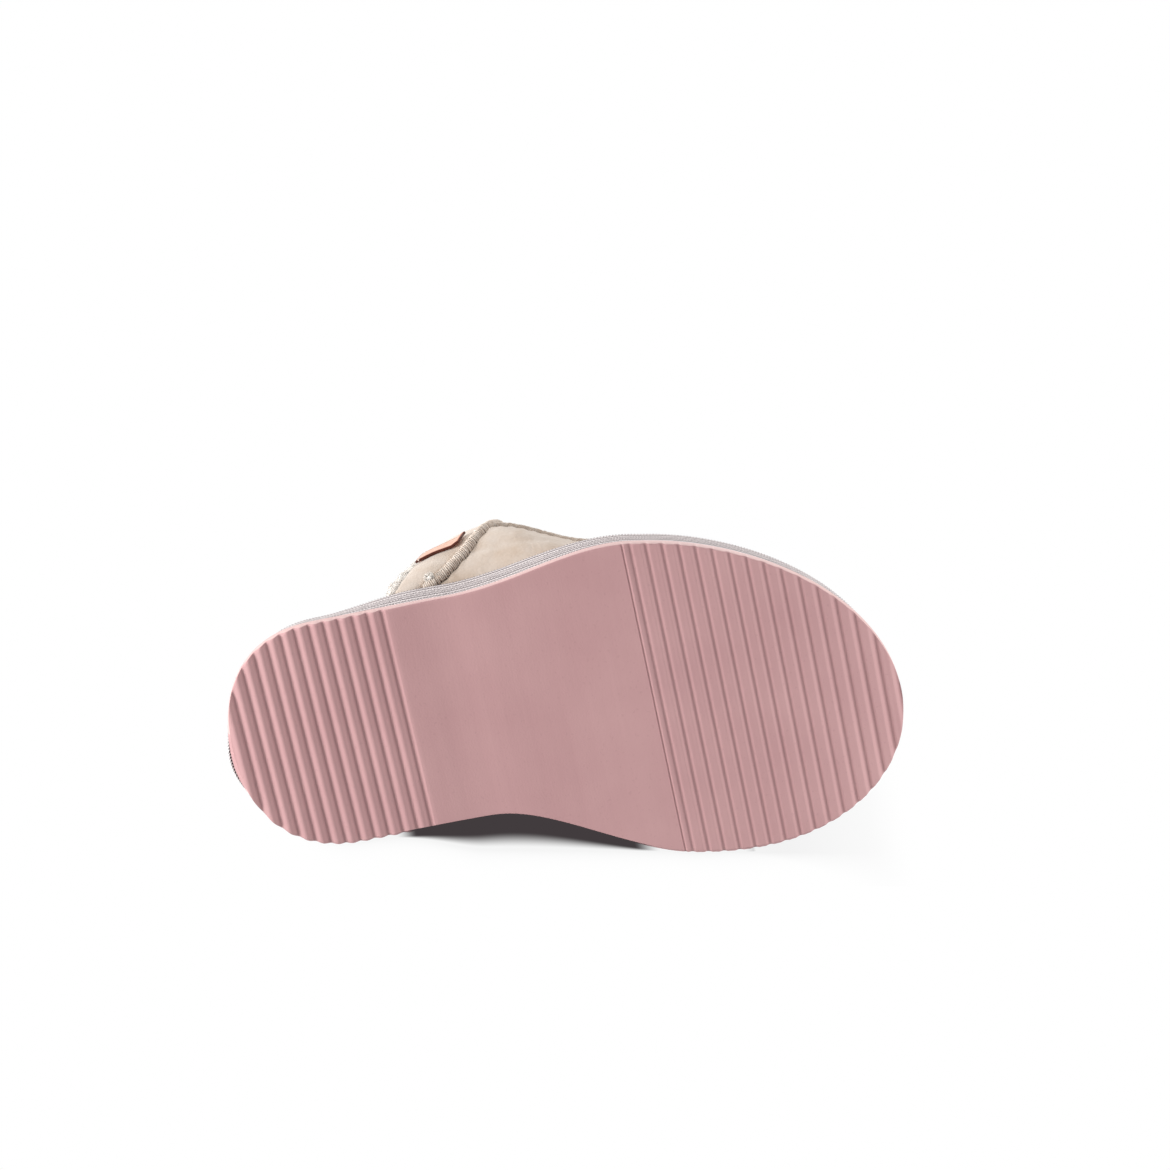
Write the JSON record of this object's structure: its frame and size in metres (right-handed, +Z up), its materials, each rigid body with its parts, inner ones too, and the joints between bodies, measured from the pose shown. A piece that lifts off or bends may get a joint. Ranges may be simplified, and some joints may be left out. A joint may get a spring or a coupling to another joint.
{
  "type": "fluffy house slipper",
  "caption": "Child's right-foot house slipper, open at the heel, with a suede upper, fleece lining, woven edge tape and a ribbed foam sole.",
  "frame": {"origin": "under the middle of the slipper's length and width, on the surface that it stands on", "axes": "-Y towards the toe along the heel's centre line, +Z up, -X towards the outer side of the right foot"},
  "size_m": [0.0846, 0.16, 0.0591],
  "materials": {
    "sole_foam": "dusty pink moulded foam sheet, matt, fine grain",
    "cushion_foam": "soft closed-cell foam, matt",
    "woven_tape": "herringbone woven tape in mauve and off-white yarn",
    "fibre_board": "pressed fibre board",
    "fleece": "cream curly fleece pile",
    "suede": "beige brushed suede, matt with a short nap",
    "toe_stiffener": "thin moulded stiffener sheet",
    "seam_thread": "matt overlock yarn, tan and cream",
    "label_leather": "smooth natural leather with dark burnished edges"
  },
  "bodies": {
    "root": {"outsole": "sole_foam", "midsole": "cushion_foam", "foxing_tape": "woven_tape", "insole_board": "fibre_board", "footbed_foam": "cushion_foam", "footbed_sock": "fleece", "vamp": "suede", "outer_side_panel": "suede", "inner_side_panel": "suede", "collar_band": "suede", "collar_foam": "cushion_foam", "vamp_padding": "cushion_foam", "toe_puff": "toe_stiffener", "fleece_lining": "fleece", "collar_roll": "fleece", "collar_seam": "seam_thread", "outer_vamp_seam": "seam_thread", "inner_vamp_seam": "seam_thread", "leather_label": "label_leather", "label_stitch": "seam_thread"}
  },
  "joints": []
}
